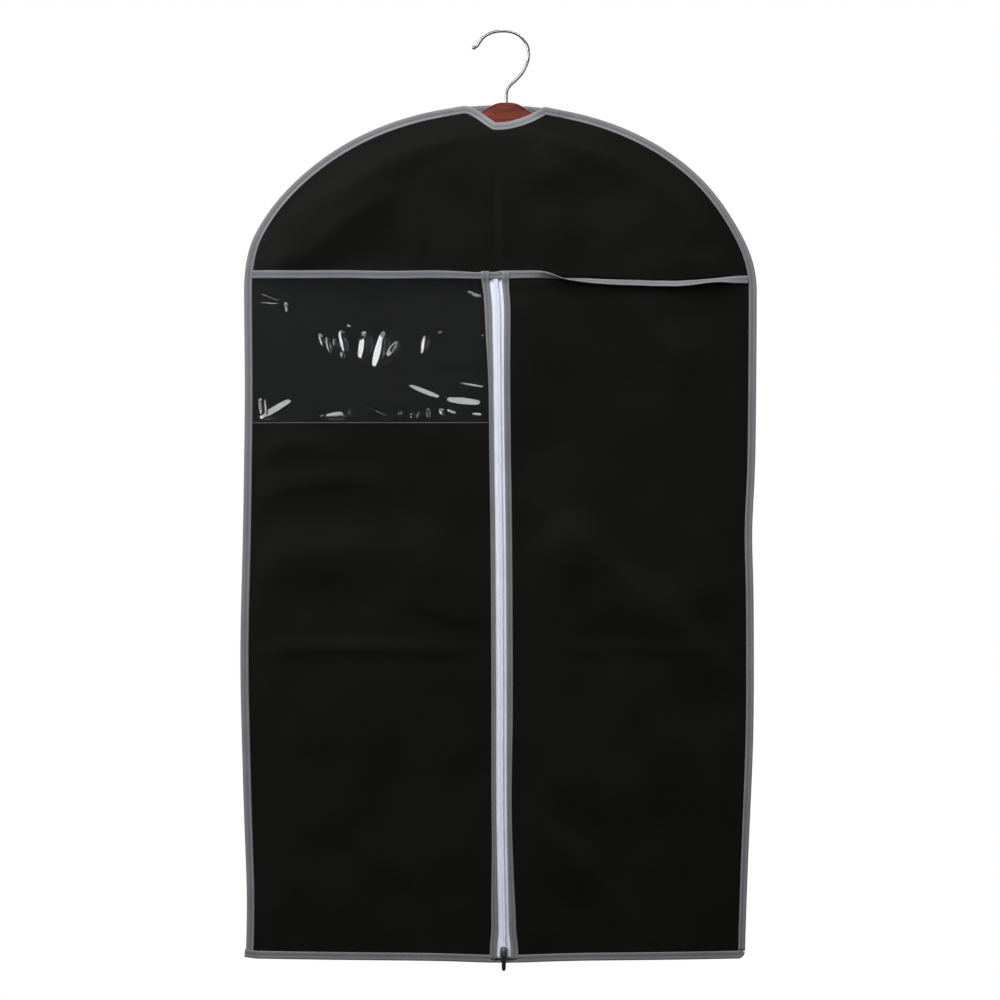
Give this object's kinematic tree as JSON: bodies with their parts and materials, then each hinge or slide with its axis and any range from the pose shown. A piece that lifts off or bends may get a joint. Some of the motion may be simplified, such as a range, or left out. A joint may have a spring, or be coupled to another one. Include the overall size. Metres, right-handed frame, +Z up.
{
  "type": "hanging garment bag",
  "caption": "Dome-topped hanging garment bag with a clear window and a front zip, on a wooden coat hanger with a swivelling wire hook.",
  "frame": {"origin": "where the inside top of the hook's crown bears on a wardrobe rail", "axes": "+X to the right seen from the front, +Y towards the back of the bag, +Z up; the zipped front faces -Y"},
  "size_m": [0.6, 0.032, 1.1007],
  "materials": {
    "black_cloth": "matte black spun-bonded non-woven with a fine embossed dot pattern",
    "grey_tape": "grey folded binding tape with a sewn line down the middle",
    "clear_film": "clear soft vinyl film, lightly creased",
    "white_tape": "woven zip tape",
    "white_coil": "moulded nylon coil",
    "slider_metal": "gunmetal plated zinc",
    "pull_metal": "dark plated zinc",
    "cherry_wood": "reddish brown lacquer",
    "steel": "zinc plated",
    "chrome": "polished chrome plate"
  },
  "bodies": {
    "hook": {"hook": "chrome", "swivel_washer": "steel"},
    "cover": {"hanger_body": "cherry_wood", "back_panel": "black_cloth", "front_yoke": "black_cloth", "edge_binding": "grey_tape", "hem_binding": "grey_tape", "neck_binding": "grey_tape", "yoke_seam_binding": "grey_tape"},
    "left_front": {"left_panel": "black_cloth", "window": "clear_film", "zip_binding_left": "grey_tape", "zip_tape_left": "white_tape", "zip_coil_left": "white_coil"},
    "right_front": {"right_panel": "black_cloth", "zip_binding_right": "grey_tape", "zip_tape_right": "white_tape", "zip_coil_right": "white_coil"},
    "slider": {"slider_body": "slider_metal"},
    "pull": {"pull_tab": "pull_metal"}
  },
  "joints": [
    {"name": "hook_swivel", "type": "hinge", "parent": "hook", "child": "cover", "pos_m": [0.004, 0, -0.1], "axis": [0, 0, 1], "continuous": true},
    {"name": "left_front_swing", "type": "hinge", "parent": "cover", "child": "left_front", "pos_m": [-0.293, -0.0016, -0.68], "axis": [0, 0, -1], "range_deg": [0, 45], "deforming": ["zip_tape_left", "zip_coil_left"]},
    {"name": "right_front_swing", "type": "hinge", "parent": "cover", "child": "right_front", "pos_m": [0.287, -0.0016, -0.68], "axis": [0, 0, 1], "range_deg": [0, 45], "deforming": ["zip_tape_right", "zip_coil_right"]},
    {"name": "zip_slide", "type": "slide", "parent": "cover", "child": "slider", "axis": [-0.01, -0.0144, 0.9998], "range_m": [0, 0.76]},
    {"name": "pull_swing", "type": "hinge", "parent": "slider", "child": "pull", "pos_m": [0.00091, -0.00588, -1.0747], "axis": [-1, 0, 0], "range_deg": [0, 170]}
  ],
  "couplings": [
    {"joint": "right_front_swing", "follows": "left_front_swing", "ratio": 1},
    {"joint": "zip_slide", "follows": "left_front_swing", "m_per_rad": 0.96766}
  ]
}
